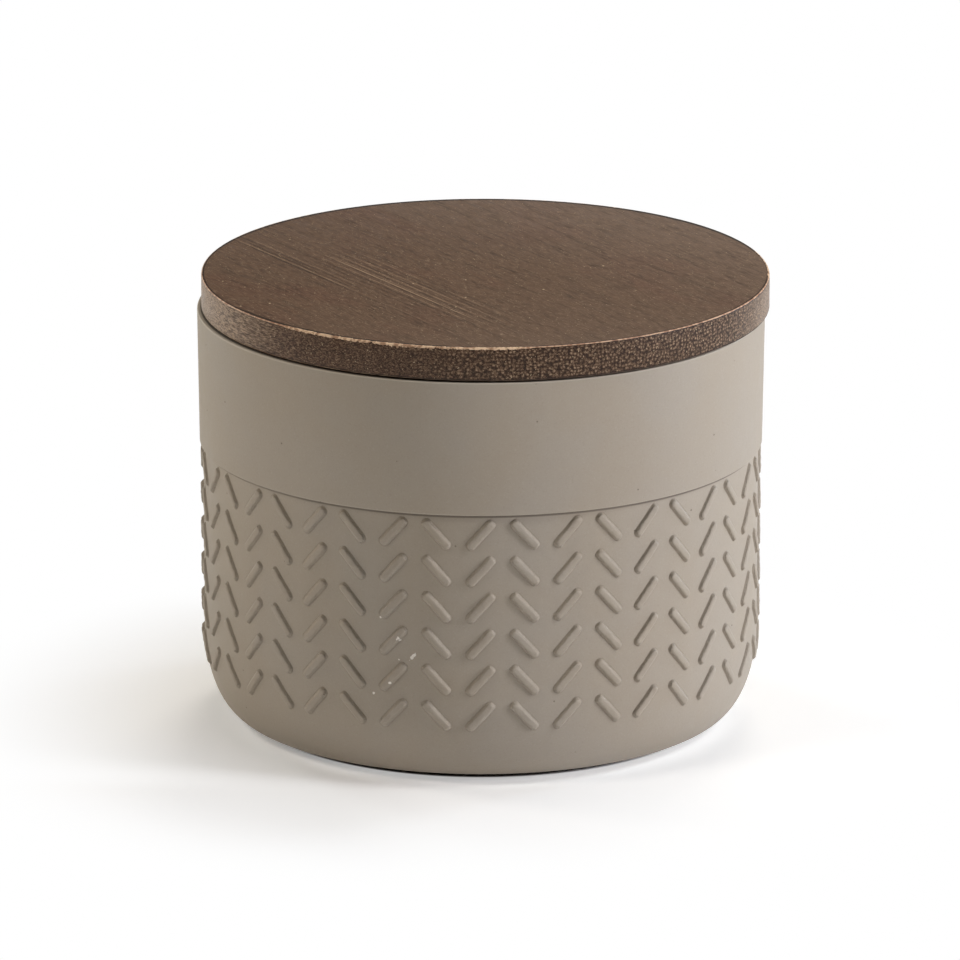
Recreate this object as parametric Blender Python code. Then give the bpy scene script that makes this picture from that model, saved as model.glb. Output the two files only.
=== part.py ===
"""Round bathroom jar with a herringbone relief and a lift-off wooden lid.

Metres, +Z up. The origin is the centre of the underside, and -Y is the side that faces the viewer.
"""
import math

import bmesh
import bpy
from mathutils import Vector
from mathutils.geometry import delaunay_2d_cdt

MM = 0.001

# Clearance between two pieces that touch, and the distance that closes the seams of one mesh
TOUCH_GAP = 0.3 * MM
WELD_DISTANCE = 0.001 * MM

# Foam pad under the foot
PAD_RADIUS = 40.0 * MM
PAD_THICKNESS = 0.9 * MM

# Cast jar: the band below the rim, the wall under it, the foot and the hollow
BODY_HEIGHT = 72.95 * MM
BAND_RIM_RADIUS = 50.0 * MM
BAND_TAPER = 0.35 * MM
BAND_HEIGHT = 24.0 * MM
BAND_STEP = 0.7 * MM
BAND_EDGE_ROUND = 0.25 * MM
RIM_ROUND = 0.4 * MM
FOOT_CORNER_WIDTH = 6.85 * MM
FOOT_CORNER_HEIGHT = 14.9 * MM
WALL_THICKNESS = 3.95 * MM
FLOOR_THICKNESS = 4.8 * MM
FLOOR_FILLET_WIDTH = 8.0 * MM
FLOOR_FILLET_HEIGHT = 10.0 * MM

# Raised dashes, in columns that lean by turns to either side
DASH_LENGTH = 6.7 * MM
DASH_WIDTH = 1.75 * MM
DASH_HEIGHT = 0.42 * MM
DASH_FLANK = 0.34 * MM
DASH_TILT = math.radians(48)
DASH_ROW_GAP = 1.15 * MM
DASH_COLUMN_GAP = 2.5 * MM
DASH_TOP_MARGIN = 0.35 * MM
DASH_FOOT_MARGIN = 9.0 * MM

# Wooden lid: the board that shows, and the plug under it with a groove for its seal
LID_THICKNESS = 5.95 * MM
LID_OFFSET = 0.75 * MM
LID_ARRIS_ROUND = 0.45 * MM
PLUG_THICKNESS = 7.0 * MM
PLUG_CLEARANCE = 2.2 * MM
PLUG_CHAMFER = 0.8 * MM
GROOVE_DEPTH = 1.3 * MM
GROOVE_HEIGHT = 3.6 * MM
GROOVE_DROP = 1.6 * MM
SEAL_LIP_THICKNESS = 0.8 * MM
SEAL_LIP_TIP = 0.35 * MM

# Facets
SEGMENTS_PER_COLUMN = 2
LID_SEGMENTS = 80
SEAL_SEGMENTS = 72
CORNER_STEPS = 5
FILLET_STEPS = 4
ROUND_STEPS = 2
SMOOTH_ANGLE = math.radians(32)

# Heights and radii that follow from the sizes above
BODY_BOTTOM = PAD_THICKNESS + TOUCH_GAP
RIM_TOP = BODY_BOTTOM + BODY_HEIGHT
BAND_BOTTOM = RIM_TOP - BAND_HEIGHT
BAND_FOOT_RADIUS = BAND_RIM_RADIUS - BAND_TAPER
WALL_RADIUS = BAND_FOOT_RADIUS - BAND_STEP
BORE_RADIUS = WALL_RADIUS - WALL_THICKNESS
CORNER_TOP = BODY_BOTTOM + FOOT_CORNER_HEIGHT
INNER_FLOOR = BODY_BOTTOM + FLOOR_THICKNESS
LID_BOTTOM = RIM_TOP + TOUCH_GAP
LID_RADIUS = BAND_RIM_RADIUS
PLUG_TOP = LID_BOTTOM - TOUCH_GAP
PLUG_RADIUS = BORE_RADIUS - PLUG_CLEARANCE

# The dash field: whole columns round the wall, whole rows between the band and the smooth foot
DASH_CORE = DASH_LENGTH - DASH_WIDTH
DASH_RUN = DASH_CORE * math.cos(DASH_TILT) + DASH_WIDTH
DASH_RISE = DASH_CORE * math.sin(DASH_TILT) + DASH_WIDTH
ROW_PITCH = DASH_RISE + DASH_ROW_GAP
COLUMN_PAIRS = math.floor(math.pi * WALL_RADIUS / (DASH_RUN + DASH_COLUMN_GAP))
COLUMNS = 2 * COLUMN_PAIRS
COLUMN_ANGLE = math.tau / COLUMNS
FIELD_TOP = BAND_BOTTOM - DASH_TOP_MARGIN
ROWS = math.floor((FIELD_TOP - BODY_BOTTOM - DASH_FOOT_MARGIN) / ROW_PITCH)
FIELD_BOTTOM = FIELD_TOP - ROWS * ROW_PITCH


def srgb(red, green, blue):
    """Linear colour of a screen colour whose channels run from 0 to 255."""
    shares = [channel / 255 for channel in (red, green, blue)]
    linear = [s / 12.92 if s <= 0.04045 else ((s + 0.055) / 1.055) ** 2.4 for s in shares]
    return (*linear, 1.0)


def material(name, colour, roughness):
    result = bpy.data.materials.new(name)
    result.use_nodes = True
    shader = result.node_tree.nodes["Principled BSDF"]
    shader.inputs["Base Color"].default_value = colour
    shader.inputs["Roughness"].default_value = roughness
    shader.inputs["Metallic"].default_value = 0.0
    return result


def round_point(radius, height, angle):
    """A point on a ring round the Z axis; angle 0 faces the viewer."""
    return Vector((radius * math.sin(angle), -radius * math.cos(angle), height))


def quarter(centre, width, height, start, end, steps):
    """Points of an elliptic arc about centre, in (radius, height), end points included."""
    points = []
    for step in range(steps + 1):
        angle = start + (end - start) * step / steps
        points.append((centre[0] + width * math.cos(angle), centre[1] + height * math.sin(angle)))
    return points


def add_rings(bm, profile, segments, closed=False):
    """Turn a profile of (radius, height) round the Z axis; a point on the axis becomes a pole."""
    rings = []
    for radius, height in profile:
        count = 1 if radius == 0 else segments
        places = [round_point(radius, height, math.tau * i / segments) for i in range(count)]
        rings.append([bm.verts.new(place) for place in places])
    pairs = list(zip(rings, rings[1:]))
    if closed:
        pairs.append((rings[-1], rings[0]))
    for lower, upper in pairs:
        for i in range(segments):
            j = (i + 1) % segments
            if len(lower) == 1:
                bm.faces.new((lower[0], upper[j], upper[i]))
            elif len(upper) == 1:
                bm.faces.new((lower[i], lower[j], upper[0]))
            else:
                bm.faces.new((lower[i], lower[j], upper[j], upper[i]))


def finish_object(name, bm, surface, parent=None, location=(0, 0, 0)):
    """Close the seams, face every normal outwards and place the mesh in the scene."""
    bmesh.ops.remove_doubles(bm, verts=bm.verts, dist=WELD_DISTANCE)
    bmesh.ops.recalc_face_normals(bm, faces=bm.faces)
    mesh = bpy.data.meshes.new(name)
    bm.to_mesh(mesh)
    bm.free()
    mesh.shade_smooth()
    mesh.set_sharp_from_angle(angle=SMOOTH_ANGLE)
    mesh.materials.append(surface)
    result = bpy.data.objects.new(name, mesh)
    result.location = location
    result.parent = parent
    bpy.context.scene.collection.objects.link(result)
    return result


def turned_object(name, profile, segments, surface, closed=False, parent=None, location=(0, 0, 0)):
    bm = bmesh.new()
    add_rings(bm, profile, segments, closed)
    return finish_object(name, bm, surface, parent, location)


def outer_radius(height):
    """Radius of the wall below the band; it draws in on an elliptic arc towards the foot."""
    if height >= CORNER_TOP:
        return WALL_RADIUS
    drop = (CORNER_TOP - height) / FOOT_CORNER_HEIGHT
    return WALL_RADIUS - FOOT_CORNER_WIDTH * (1 - math.sqrt(max(0.0, 1 - drop * drop)))


def foot_profile():
    """Underside and rounded foot, up to the lower edge of the dash field."""
    profile = [(0, BODY_BOTTOM)]
    end = math.acos(min(1.0, (CORNER_TOP - FIELD_BOTTOM) / FOOT_CORNER_HEIGHT))
    for step in range(CORNER_STEPS + 1):
        height = CORNER_TOP - FOOT_CORNER_HEIGHT * math.cos(end * step / CORNER_STEPS)
        profile.append((outer_radius(height), height))
    return profile


def upper_profile():
    """From the top of the dash field over the band and the rim, and down the bore to the floor's middle."""
    profile = [(WALL_RADIUS, FIELD_TOP), (WALL_RADIUS, BAND_BOTTOM)]
    edge = (BAND_FOOT_RADIUS - BAND_EDGE_ROUND, BAND_BOTTOM + BAND_EDGE_ROUND)
    profile += quarter(edge, BAND_EDGE_ROUND, BAND_EDGE_ROUND, -math.pi / 2, 0, ROUND_STEPS)
    outer = (BAND_RIM_RADIUS - RIM_ROUND, RIM_TOP - RIM_ROUND)
    profile += quarter(outer, RIM_ROUND, RIM_ROUND, 0, math.pi / 2, ROUND_STEPS)
    inner = (BORE_RADIUS + RIM_ROUND, RIM_TOP - RIM_ROUND)
    profile += quarter(inner, RIM_ROUND, RIM_ROUND, math.pi / 2, math.pi, ROUND_STEPS)
    fillet = (BORE_RADIUS - FLOOR_FILLET_WIDTH, INNER_FLOOR + FLOOR_FILLET_HEIGHT)
    profile += quarter(fillet, FLOOR_FILLET_WIDTH, FLOOR_FILLET_HEIGHT, 0, -math.pi / 2, FILLET_STEPS)
    profile.append((0, INNER_FLOOR))
    return profile


def dash_outline(lean, inset):
    """Six corners of a dash with pointed ends, in (arc, height) about its own middle."""
    along = Vector((lean * math.cos(DASH_TILT), math.sin(DASH_TILT)))
    across = Vector((along.y, -along.x))
    half_width = DASH_WIDTH / 2 - inset
    points = []
    for end in (1, -1):
        shoulder = along * (end * DASH_CORE / 2)
        side = across * (end * half_width)
        points += [shoulder + side, shoulder + along * (end * half_width), shoulder - side]
    return points


def dash_cell(lean):
    """Triangles of one cell of the field, as points (arc, height, lift) and index triples."""
    half_arc = COLUMN_ANGLE * WALL_RADIUS / 2
    half_rise = ROW_PITCH / 2
    points = []
    lifts = []
    for side in (-1, 1):
        for step in range(SEGMENTS_PER_COLUMN + 1):
            share = 2 * step / SEGMENTS_PER_COLUMN - 1
            points.append(Vector((half_arc * share, half_rise * side)))
            lifts.append(0)
    edges = []
    for inset, lift in ((0, 0), (DASH_FLANK, DASH_HEIGHT)):
        outline = dash_outline(lean, inset)
        first = len(points)
        count = len(outline)
        edges += [(first + i, first + (i + 1) % count) for i in range(count)]
        points += outline
        lifts += [lift] * count
    flat, _, faces, sources, _, _ = delaunay_2d_cdt(points, edges, [], 0, WELD_DISTANCE, True)
    lifted = [(place.x, place.y, lifts[source[0]]) for place, source in zip(flat, sources)]
    return lifted, faces


def add_dash_field(bm):
    """The wall between band and foot with its raised dashes, one column after another."""
    cells = {lean: dash_cell(lean) for lean in (1, -1)}
    for column in range(COLUMNS):
        points, faces = cells[1 if column % 2 == 0 else -1]
        for row in range(ROWS):
            middle = FIELD_TOP - (row + 0.5) * ROW_PITCH
            corners = []
            for arc, rise, lift in points:
                angle = column * COLUMN_ANGLE + arc / WALL_RADIUS
                height = middle + rise
                corners.append(bm.verts.new(round_point(outer_radius(height) + lift, height, angle)))
            for face in faces:
                bm.faces.new([corners[i] for i in face])


def make_jar_body(surface):
    """The cast vessel in one piece: foot, wall with dashes, band, rim, bore and floor."""
    bm = bmesh.new()
    segments = COLUMNS * SEGMENTS_PER_COLUMN
    add_rings(bm, foot_profile(), segments)
    add_rings(bm, upper_profile(), segments)
    add_dash_field(bm)
    return finish_object("jar_body", bm, surface)


def make_base_pad(surface):
    profile = [(0, 0), (PAD_RADIUS, 0), (PAD_RADIUS, PAD_THICKNESS), (0, PAD_THICKNESS)]
    return turned_object("base_pad", profile, LID_SEGMENTS, surface)


def make_lid_board(surface, axis):
    """The board is glued a little to one side of the plug, so the rim shows there."""
    arris = LID_ARRIS_ROUND
    inner = LID_RADIUS - arris
    profile = [(0, 0)]
    profile += quarter((inner, arris), arris, arris, -math.pi / 2, 0, ROUND_STEPS)
    profile += quarter((inner, LID_THICKNESS - arris), arris, arris, 0, math.pi / 2, ROUND_STEPS)
    profile.append((0, LID_THICKNESS))
    place = (LID_OFFSET, 0, LID_BOTTOM - axis.location.z)
    return turned_object("lid_board", profile, LID_SEGMENTS, surface, parent=axis, location=place)


def make_lid_plug(surface, axis):
    """The round step under the board, with a groove that holds the seal."""
    groove_radius = PLUG_RADIUS - GROOVE_DEPTH
    groove_top = PLUG_THICKNESS - GROOVE_DROP
    groove_bottom = groove_top - GROOVE_HEIGHT
    profile = [
        (0, 0),
        (PLUG_RADIUS - PLUG_CHAMFER, 0),
        (PLUG_RADIUS, PLUG_CHAMFER),
        (PLUG_RADIUS, groove_bottom),
        (groove_radius, groove_bottom),
        (groove_radius, groove_top),
        (PLUG_RADIUS, groove_top),
        (PLUG_RADIUS, PLUG_THICKNESS),
        (0, PLUG_THICKNESS),
    ]
    place = (0, 0, PLUG_TOP - PLUG_THICKNESS - axis.location.z)
    return turned_object("lid_plug", profile, LID_SEGMENTS, surface, parent=axis, location=place)


def make_seal_ring(surface, axis):
    """Silicone ring with two soft lips that reach for the bore."""
    inner = PLUG_RADIUS - GROOVE_DEPTH + TOUCH_GAP
    height = GROOVE_HEIGHT - 2 * TOUCH_GAP
    tip = BORE_RADIUS - TOUCH_GAP
    lip = SEAL_LIP_THICKNESS
    slack = (lip - SEAL_LIP_TIP) / 2
    profile = [
        (inner, 0),
        (PLUG_RADIUS, 0),
        (tip, slack),
        (tip, lip - slack),
        (PLUG_RADIUS, lip),
        (PLUG_RADIUS, height - lip),
        (tip, height - lip + slack),
        (tip, height - slack),
        (PLUG_RADIUS, height),
        (inner, height),
    ]
    bottom = PLUG_TOP - GROOVE_DROP - GROOVE_HEIGHT + TOUCH_GAP
    place = (0, 0, bottom - axis.location.z)
    return turned_object("seal_ring", profile, SEAL_SEGMENTS, surface, True, axis, place)


def make_lid_axis():
    """Empty on the jar's axis at the rim, where the lid lifts and turns."""
    axis = bpy.data.objects.new("lid_axis", None)
    axis.location = (0, 0, RIM_TOP)
    bpy.context.scene.collection.objects.link(axis)
    return axis


def main():
    for item in list(bpy.data.objects):
        bpy.data.objects.remove(item, do_unlink=True)
    resin = material("taupe_resin", srgb(164, 151, 135), 0.62)
    foam = material("dark_foam", srgb(44, 40, 38), 0.9)
    bamboo = material("stained_bamboo", srgb(101, 80, 66), 0.45)
    plug_wood = material("plug_bamboo", srgb(112, 86, 66), 0.55)
    silicone = material("clear_silicone", srgb(214, 212, 206), 0.35)
    make_jar_body(resin)
    make_base_pad(foam)
    axis = make_lid_axis()
    make_lid_board(bamboo, axis)
    make_lid_plug(plug_wood, axis)
    make_seal_ring(silicone, axis)


main()
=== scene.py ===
"""Looks of the lidded bathroom jar: fine meshes, surfaces, floor, light and camera. Metres, +Z up."""
import math

import bmesh
import bpy
from mathutils import Matrix, Vector, noise
from mathutils.geometry import delaunay_2d_cdt


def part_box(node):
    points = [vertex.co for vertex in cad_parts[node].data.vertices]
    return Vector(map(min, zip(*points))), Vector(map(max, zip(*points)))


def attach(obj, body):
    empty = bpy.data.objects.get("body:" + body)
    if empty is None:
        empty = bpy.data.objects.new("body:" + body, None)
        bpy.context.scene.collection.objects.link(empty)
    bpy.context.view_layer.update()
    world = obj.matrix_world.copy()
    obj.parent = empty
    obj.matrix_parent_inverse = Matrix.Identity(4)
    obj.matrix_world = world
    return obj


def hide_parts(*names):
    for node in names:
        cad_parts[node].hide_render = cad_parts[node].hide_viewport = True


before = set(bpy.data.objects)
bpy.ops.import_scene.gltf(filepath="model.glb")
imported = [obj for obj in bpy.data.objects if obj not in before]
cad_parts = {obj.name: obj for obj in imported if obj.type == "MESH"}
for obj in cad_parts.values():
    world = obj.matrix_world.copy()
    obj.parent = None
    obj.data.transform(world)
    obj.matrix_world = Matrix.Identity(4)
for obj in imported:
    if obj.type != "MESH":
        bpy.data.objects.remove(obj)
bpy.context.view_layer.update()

MM = 0.001

# Sizes that the frame gives
body_low, body_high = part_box("jar_body")
pad_low, pad_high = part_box("base_pad")
board_low, board_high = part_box("lid_board")
plug_low, plug_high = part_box("lid_plug")
seal_low, seal_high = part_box("seal_ring")
WELD_DISTANCE = 0.001 * MM

# Cast jar
RIM_RADIUS = body_high.y
BAND_TAPER = 0.35 * MM
BAND_HEIGHT = 24 * MM
BAND_STEP = 0.7 * MM
BAND_EDGE_ROUND = 0.2 * MM
RIM_ROUND = 0.3 * MM
FOOT_CORNER_WIDTH = 6.85 * MM
FOOT_CORNER_HEIGHT = 14.9 * MM
FOOT_EDGE_ROUND = 0.35 * MM
WALL_THICKNESS = 3.95 * MM
FLOOR_THICKNESS = 4.8 * MM
FLOOR_FILLET_WIDTH = 8 * MM
FLOOR_FILLET_HEIGHT = 10 * MM
BAND_FOOT_RADIUS = RIM_RADIUS - BAND_TAPER
WALL_RADIUS = BAND_FOOT_RADIUS - BAND_STEP
BORE_RADIUS = WALL_RADIUS - WALL_THICKNESS
BAND_BOTTOM = body_high.z - BAND_HEIGHT
CORNER_TOP = body_low.z + FOOT_CORNER_HEIGHT
FOOT_RADIUS = WALL_RADIUS - FOOT_CORNER_WIDTH
INNER_FLOOR = body_low.z + FLOOR_THICKNESS

# Raised dashes, which lean to either side by turns
DASH_LENGTH = 6.75 * MM
DASH_WIDTH = 1.8 * MM
DASH_HEIGHT = 0.55 * MM
DASH_TILT = math.radians(48)
DASH_ROW_GAP = 1.1 * MM
DASH_COLUMN_GAP = 2.5 * MM
DASH_TOP_MARGIN = 0.35 * MM
DASH_FOOT_MARGIN = 9 * MM
DASH_CLEARANCE = 0.3 * MM
DASH_CORE = DASH_LENGTH - DASH_WIDTH
DASH_RUN = DASH_CORE * math.cos(DASH_TILT) + DASH_WIDTH
ROW_PITCH = DASH_CORE * math.sin(DASH_TILT) + DASH_WIDTH + DASH_ROW_GAP
COLUMNS = 2 * math.floor(math.pi * WALL_RADIUS / (DASH_RUN + DASH_COLUMN_GAP))
COLUMN_ANGLE = math.tau / COLUMNS
FIELD_TOP = BAND_BOTTOM - DASH_TOP_MARGIN
ROWS = math.floor((FIELD_TOP - body_low.z - DASH_FOOT_MARGIN) / ROW_PITCH)
FIELD_BOTTOM = FIELD_TOP - ROWS * ROW_PITCH
# Lumps of the cast dashes: the most that they stand out or in, and their size
DASH_LUMP = 0.09 * MM
DASH_LUMP_SIZE = 0.8 * MM
# Section of a dash from its foot to its top: shares of the half width inwards, and of the height
DASH_INSET_SHARES = (-0.03, 0, 0.08, 0.28, 0.48, 0.6, 0.72, 0.86)
DASH_LIFT_SHARES = (0, 0.1, 0.28, 0.62, 0.88, 0.96, 0.99, 1)
DASH_END_SQUARENESS = 2.5
# Lid
LID_ARRIS_ROUND = 0.32 * MM
LID_LOWER_ROUND = 0.22 * MM
LID_ARRIS_WEAR = 0.04 * MM
LID_WEAR_SIZE = 1.5 * MM
PLUG_CHAMFER = 0.8 * MM
GROOVE_DEPTH = 1.3 * MM
GROOVE_HEIGHT = 3.6 * MM
GROOVE_DROP = 1.6 * MM
SEAL_LIP_THICKNESS = 0.8 * MM
SEAL_LIP_TIP = 0.35 * MM
GRAIN_ANGLE = math.radians(-58)

# Facets of the fine meshes, and the greatest angle between facets that are shaded as one round surface
CELL_STEPS = 8
DASH_SIDE_STEPS = 7
DASH_END_STEPS = 8
ROUND_STEPS = 5
FILLET_STEPS = 12
FOOT_STEPS = 14
TURNED_SEGMENTS = 320
SMOOTH_ANGLE = math.radians(40)
# Start and end of the arcs that round an outer edge below and above
LOWER_QUARTER = (-math.pi / 2, 0)
UPPER_QUARTER = (0, math.pi / 2)

# Camera: where it stands in the viewer's direction, and the lens for a 36 mm sensor
CAMERA_DISTANCE = 1.979
CAMERA_ELEVATION = math.radians(16.45)
CAMERA_TARGET = Vector((0, 0, 0.037))
CAMERA_PITCH = math.radians(16.307)
CAMERA_YAW = math.radians(0.0044)
CAMERA_ROLL = math.radians(0.09)
CAMERA_LENS = 419.3
CAMERA_CLIP = (0.1, 50)

# Colour sockets of the node that mixes two values: first, second and result
MIX_SOCKETS = (6, 7, 2)


def srgb(red, green, blue):
    """Linear colour of a screen colour whose channels run from 0 to 255."""
    shares = [channel / 255 for channel in (red, green, blue)]
    linear = [s / 12.92 if s <= 0.04045 else ((s + 0.055) / 1.055) ** 2.4 for s in shares]
    return (*linear, 1)


# In the surfaces' values below, a noise is its size, detail and roughness (0.5 if not given), a ramp is the
# values where a smooth passage starts and ends and what it gives there (0 and 1 if not given), and a bump is
# its height and strength

# Resin: its tones, its grain, and its gloss
RESIN_WARM = srgb(166, 154, 138)
RESIN_COOL = srgb(166, 156, 143)
RESIN_LIGHT = srgb(171, 161, 147)
RESIN_DARK = srgb(143, 132, 117)
RESIN_PALE = srgb(185, 176, 163)
RESIN_PIT = srgb(92, 82, 70)
RESIN_CHIP = srgb(236, 229, 219)
# Painted highlight tone for the rim's top edge and the band's lower edge
RESIN_EDGE_HIGHLIGHT = srgb(206, 196, 180)
# Painted shade tone under the band and round the dashes' feet
RESIN_PAINTED_SHADE = srgb(76, 66, 56)
# Painted shadow tone of the board on the rim's top
RIM_SHADOW_TONE = srgb(52, 44, 36)
RESIN_SPECULAR = 0.35
RESIN_ROUGHNESS_RAMP = (0, 1, 0.62, 0.72)
PATCH_NOISE = (16 * MM, 3)
PATCH_RAMP = (0.3, 0.7)
MOTTLE_NOISE = (2.4 * MM, 3)
MOTTLE_RAMP = (0.25, 0.75)
MOTTLE_STRENGTH = 0.35
SPECKLE_NOISE = (0.32 * MM, 2, 0.7)
DARK_SPECKLE_RAMP = (0.56, 0.72, 0, 0.22)
PALE_SPECKLE_RAMP = (0.3, 0.42, 0.22, 0)
SPECKLE_BUMP = (0.018 * MM, 0.55)
WAVE_NOISE = (2.6 * MM, 2)
WAVE_BUMP = (0.05 * MM, 0.6)
# Pits: the pitch of their cells, the distance from a cell's middle as a share of it, and the cells' lots
PIT_PITCH = 3.4 * MM
PIT_RAMP = (0.03575, 0.065, 1, 0)
PIT_LOT_RAMP = (0.7, 0.72)
PIT_STRENGTH = 0.6
PIT_BUMP = (0.08 * MM, 0.8)
# Widths of the passages at the ends of the band and of the field of dashes
FINE_STEP = 0.1 * MM
SOFT_STEP = 0.5 * MM
# Painted highlights on the rim's top edge and the band's lower edge: distances below the rim's top, and
# above the band's lower edge, and their strength
RIM_HIGHLIGHT_REACHES = (0.36 * MM, 0.21 * MM)
RIM_HIGHLIGHT_STRENGTH = 0.5
BAND_HIGHLIGHT_REACHES = (0.15 * MM, 0.3 * MM)
BAND_HIGHLIGHT_STRENGTH = 0.15
# Painted shade under the band: distances below the band where it starts and is full, and its strength from
# left to right
BAND_SHADE_REACHES = (0.62 * MM, 0.41 * MM)
BAND_SHADE_SIDE_RAMP = (-0.8 * WALL_RADIUS, -0.3 * WALL_RADIUS, 0.3, 0.62)
# Distances from a dash's spine, as shares of its half width: painted shade at its foot, and its crisp flank
FOOT_SHADE_SHARES = (0.88, 1, 1.04, 1.24)
FOOT_SHADE_STRENGTH = 0.15
FLANK_SHARES = (0.6, 0.98)
FLANK_BUMP = (0.2 * MM, 1)
# Unevenness of the cast flanks, as a share of a dash's half width
FLANK_WOBBLE_SHARE = 0.45
FLANK_NOISE = (0.6 * MM, 2, 0.6)
# Painted shadow of the board on the rim's top: depths below the rim's top where it starts and is full,
# distances from the board's edge, outwards, and its strength there
RIM_SHADOW_DEPTHS = (0.1 * MM, 0.02 * MM)
RIM_SHADOW_REACHES = (-1.3 * MM, -0.3 * MM, 0, 0.3 * MM)
RIM_SHADOW_STRENGTHS = (0.1, 0.85, 0.2)
# Chips: the ragged edge, and how deep and how sharply they end
NICK_NOISE = (0.45 * MM, 1)
NICK_RAGGEDNESS = 2.4
NICK_RAMP = (1.75, 2.1, 1, 0)
NICK_DEPTH = 1.4 * MM
NICK_DEPTH_POWER = 8
# Each chip: degrees round the wall, height, half width and half length in millimetres, and lean in degrees
NICKS = (
    (-16.9, 27.4, 0.36, 0.46, 60), (-16.5, 27, 0.24, 0.3, 30), (-13.9, 24.1, 0.32, 0.95, 48),
    (-18.5, 19.2, 0.28, 0.34, 0), (-22.2, 16.9, 0.26, 0.3, 40), (-20.7, 30.8, 0.24, 0.28, 0),
    (-16.8, 23.4, 0.18, 0.2, 0),
)

# Foam
FOAM_DEEP = srgb(26, 23, 21)
FOAM_PALE = srgb(58, 53, 49)
FOAM_ROUGHNESS = 0.95
FOAM_SPECULAR = 0.2
FOAM_NOISE = (0.9 * MM, 3)
FOAM_RAMP = (0.3, 0.8, 0, 0.4)
PORE_PITCH = 0.35 * MM
PORE_RAMP = (0.2, 0.6)
PORE_BUMP = (0.08 * MM, 0.7)

# Silicone
SILICONE_WARM = srgb(214, 209, 198)
SILICONE_COOL = srgb(206, 208, 206)
SILICONE_DUST = srgb(170, 160, 146)
SILICONE_ROUGHNESS_RAMP = (0.2, 0.8, 0.28, 0.42)
SILICONE_SCATTER = 0.35
SILICONE_DEPTH = 2 * MM
SILICONE_DEPTH_SHARES = (1, 0.9, 0.8)
FLOW_NOISE = (4 * MM, 2)
FLOW_RAMP = (0.3, 0.7)
LINT_PITCH = 1.1 * MM
LINT_RAMP = (0.03, 0.08, 0.5, 0)
RIPPLE_NOISE = (1.2 * MM, 2)
RIPPLE_BUMP = (0.02 * MM, 0.5)

# Bamboo: flat wood, end grain, dark fibres, pale bundles, red stain and bleached side grain
BOARD_COLOURS = (
    srgb(101, 77, 59), srgb(80, 57, 42), srgb(30, 17, 9), srgb(188, 158, 128), srgb(100, 66, 51),
    srgb(178, 155, 131),
)
PLUG_COLOURS = (
    srgb(116, 90, 70), srgb(96, 74, 58), srgb(70, 52, 41), srgb(166, 140, 114), srgb(118, 86, 66),
    srgb(150, 126, 100),
)
BAMBOO_SPECK = srgb(214, 190, 156)
# Painted sheen tone of the board's face towards the back right
BAMBOO_SHEEN = srgb(122, 101, 85)
BARE_GOLD = srgb(232, 200, 166)
BARE_PINK = srgb(210, 174, 144)
BARE_DEEP = srgb(128, 76, 50)
BAMBOO_SPECULAR = 0.2
BAMBOO_ROUGHNESS_RAMP = (0.2, 0.8, 0.4, 0.52)
# Cosines of the way a face turns with the way up or along the grain, for flat, end and side faces
FLAT_RAMP = (0.5, 0.9)
END_RAMP = (0.55, 0.9)
SIDE_FRONT_RAMP = (-0.1, 0.32, 1, 0)
SIDE_BACK_RAMP = (-0.9, -0.6)
# Noises, how far the first shifts the fibres, and how many times longer some are along the grain
WANDER_NOISE = (7 * MM, 2)
WANDER_ACROSS = 0.8 * MM
WANDER_UP = 1.5 * MM
FIBRE_NOISE = (0.2 * MM, 2, 0.6)
THREAD_NOISE = (0.55 * MM, 3, 0.7)
FIBRE_STRETCH = 10
COARSE_NOISE = (1.6 * MM, 3, 0.6)
COARSE_STRETCH = 3
BROAD_NOISE = (18 * MM, 3)
BROAD_STRETCH = 2
CRUMB_NOISE = (0.22 * MM, 2, 0.7)
CRUMB_STRETCH = 4
LINE_NOISE = (0.9 * MM, 2, 0.6)
LINE_STRETCH = 2 * FIBRE_STRETCH
LINE_PATCH_NOISE = (1.6 * MM, 2)
SPECK_NOISE = (0.34 * MM, 1)
# Layers of the wood's colour, in their order
RED_RAMP = (0.5, 0.68, 0, 0.45)
SHEEN_SIDE = (0.66, 0.75, 0)
SHEEN_RAMP = (0, 58 * MM, 0, 0.7)
END_WOOD_STRENGTH = 0.85
FLAT_CALM = 0.45
FIBRE_RAMP = (0.5, 0.62, 0, 0.3)
THREAD_RAMP = (0.54, 0.66, 0, 0.35)
PALE_FIBRE_RAMP = (0.38, 0.46, 0.2, 0)
COARSE_RAMP = (0.5, 0.7, 0, 0.15)
LINE_RAMP = (0.006, 0.036, 1, 0)
LINE_PATCH_RAMP = (0.4, 0.56)
LINE_STRENGTH = 0.45
BLEACHED_THREAD_RAMP = (0.48, 0.62, 0.74, 0.45)
BLEACHED_FIBRE_RAMP = (0.46, 0.54, 1, 0.3)
GRIME_STRENGTH = 0.65
GRIME_SIDE_LOSS = 0.25
GRIME_RAMP = (0.52, 0.62)
CRUMB_RAMP = (0.34, 0.46, 0.4, 0)
SPECK_RAMP = (0.715, 0.755, 0, 0.7)
# Bundles: their cells, the dark gaps between them, each pale dot's size, edge and strength, and how plainly
# they show on flat faces and between side and end grain
BUNDLE_PITCH = 0.63 * MM
BUNDLE_DISORDER = 0.7
GAP_RAMP = (0.4, 0.58, 0, 0.7)
DOT_SIZE_RAMP = (0, 1, 0.16, 0.28)
DOT_RAGGEDNESS = 0.3
DOT_EDGE_RAMP = (-0.12, 0.08, 1, 0)
DOT_STRENGTH_RAMP = (0, 1, 0.12, 0.6)
FLAT_BUNDLE_SHARE = 0.05
OBLIQUE_BUNDLE_SHARE = 0.12
# Relief: fibres and dots by halves, and broad waves
FIBRE_RELIEF_SHARE = 0.5
FIBRE_BUMP = (0.03 * MM, 0.5)
BROAD_BUMP = (0.25 * MM, 0.4)
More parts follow.
